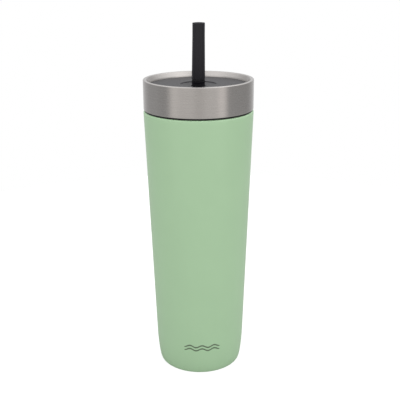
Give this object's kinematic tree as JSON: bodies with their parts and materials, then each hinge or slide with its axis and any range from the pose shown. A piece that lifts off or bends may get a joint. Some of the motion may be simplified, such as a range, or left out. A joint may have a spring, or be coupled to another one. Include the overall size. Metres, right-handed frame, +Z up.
{
  "type": "insulated tumbler with straw lid",
  "caption": "Tall tapered double-wall steel tumbler with a painted shell, a screw lid in a brushed steel band, and a straw up through the lid.",
  "frame": {"origin": "centre of the foot, on the plane of the table", "axes": "+Z up along the cup's axis; +Y away from the viewer, through the lid's vent"},
  "size_m": [0.0859, 0.0858, 0.2806],
  "materials": {
    "painted_shell": "satin sage-green powder coat",
    "bare_steel": "satin, fine circumferential brushing",
    "brushed_band": "fine circumferential brushing",
    "solder_glass": "dark fused bead",
    "getter_metal": "matt pressed powder",
    "black_plastic": "fine moulded texture",
    "gloss_black_plastic": "polished",
    "charcoal_plastic": "satin moulded",
    "smoke_plastic": "smooth tube",
    "grey_silicone": "matt silicone",
    "charcoal_silicone": "soft-touch silicone"
  },
  "bodies": {
    "tumbler": {"outer_shell": "painted_shell", "inner_liner": "bare_steel", "liner_bottom": "bare_steel", "shell_bottom": "bare_steel", "base_cap": "bare_steel", "port_seal": "solder_glass", "getter_cup": "bare_steel", "getter": "getter_metal"},
    "seal_ring": {"lid_gasket": "grey_silicone"},
    "lid": {"lid_band": "brushed_band", "lid_body": "black_plastic", "lid_cover": "charcoal_plastic", "straw_post": "gloss_black_plastic", "post_seal": "grey_silicone", "straw_valve": "grey_silicone", "valve_retainer": "black_plastic", "vent_valve": "grey_silicone", "lower_straw": "smoke_plastic"},
    "mouth_straw": {"mouth_straw": "charcoal_silicone"}
  },
  "joints": [
    {"name": "lid_lift", "type": "slide", "parent": "tumbler", "child": "seal_ring", "axis": [0, 0, 1], "range_m": [0, 0.018]},
    {"name": "lid_turn", "type": "hinge", "parent": "seal_ring", "child": "lid", "pos_m": [0, 0, 0.21435], "axis": [0, 0, 1], "range_deg": [0, 540]},
    {"name": "mouth_straw_pull", "type": "slide", "parent": "lid", "child": "mouth_straw", "axis": [0, 0, 1], "range_m": [0, 0.02]}
  ],
  "couplings": [
    {"joint": "lid_lift", "follows": "lid_turn", "m_per_rad": 0.0019098}
  ]
}
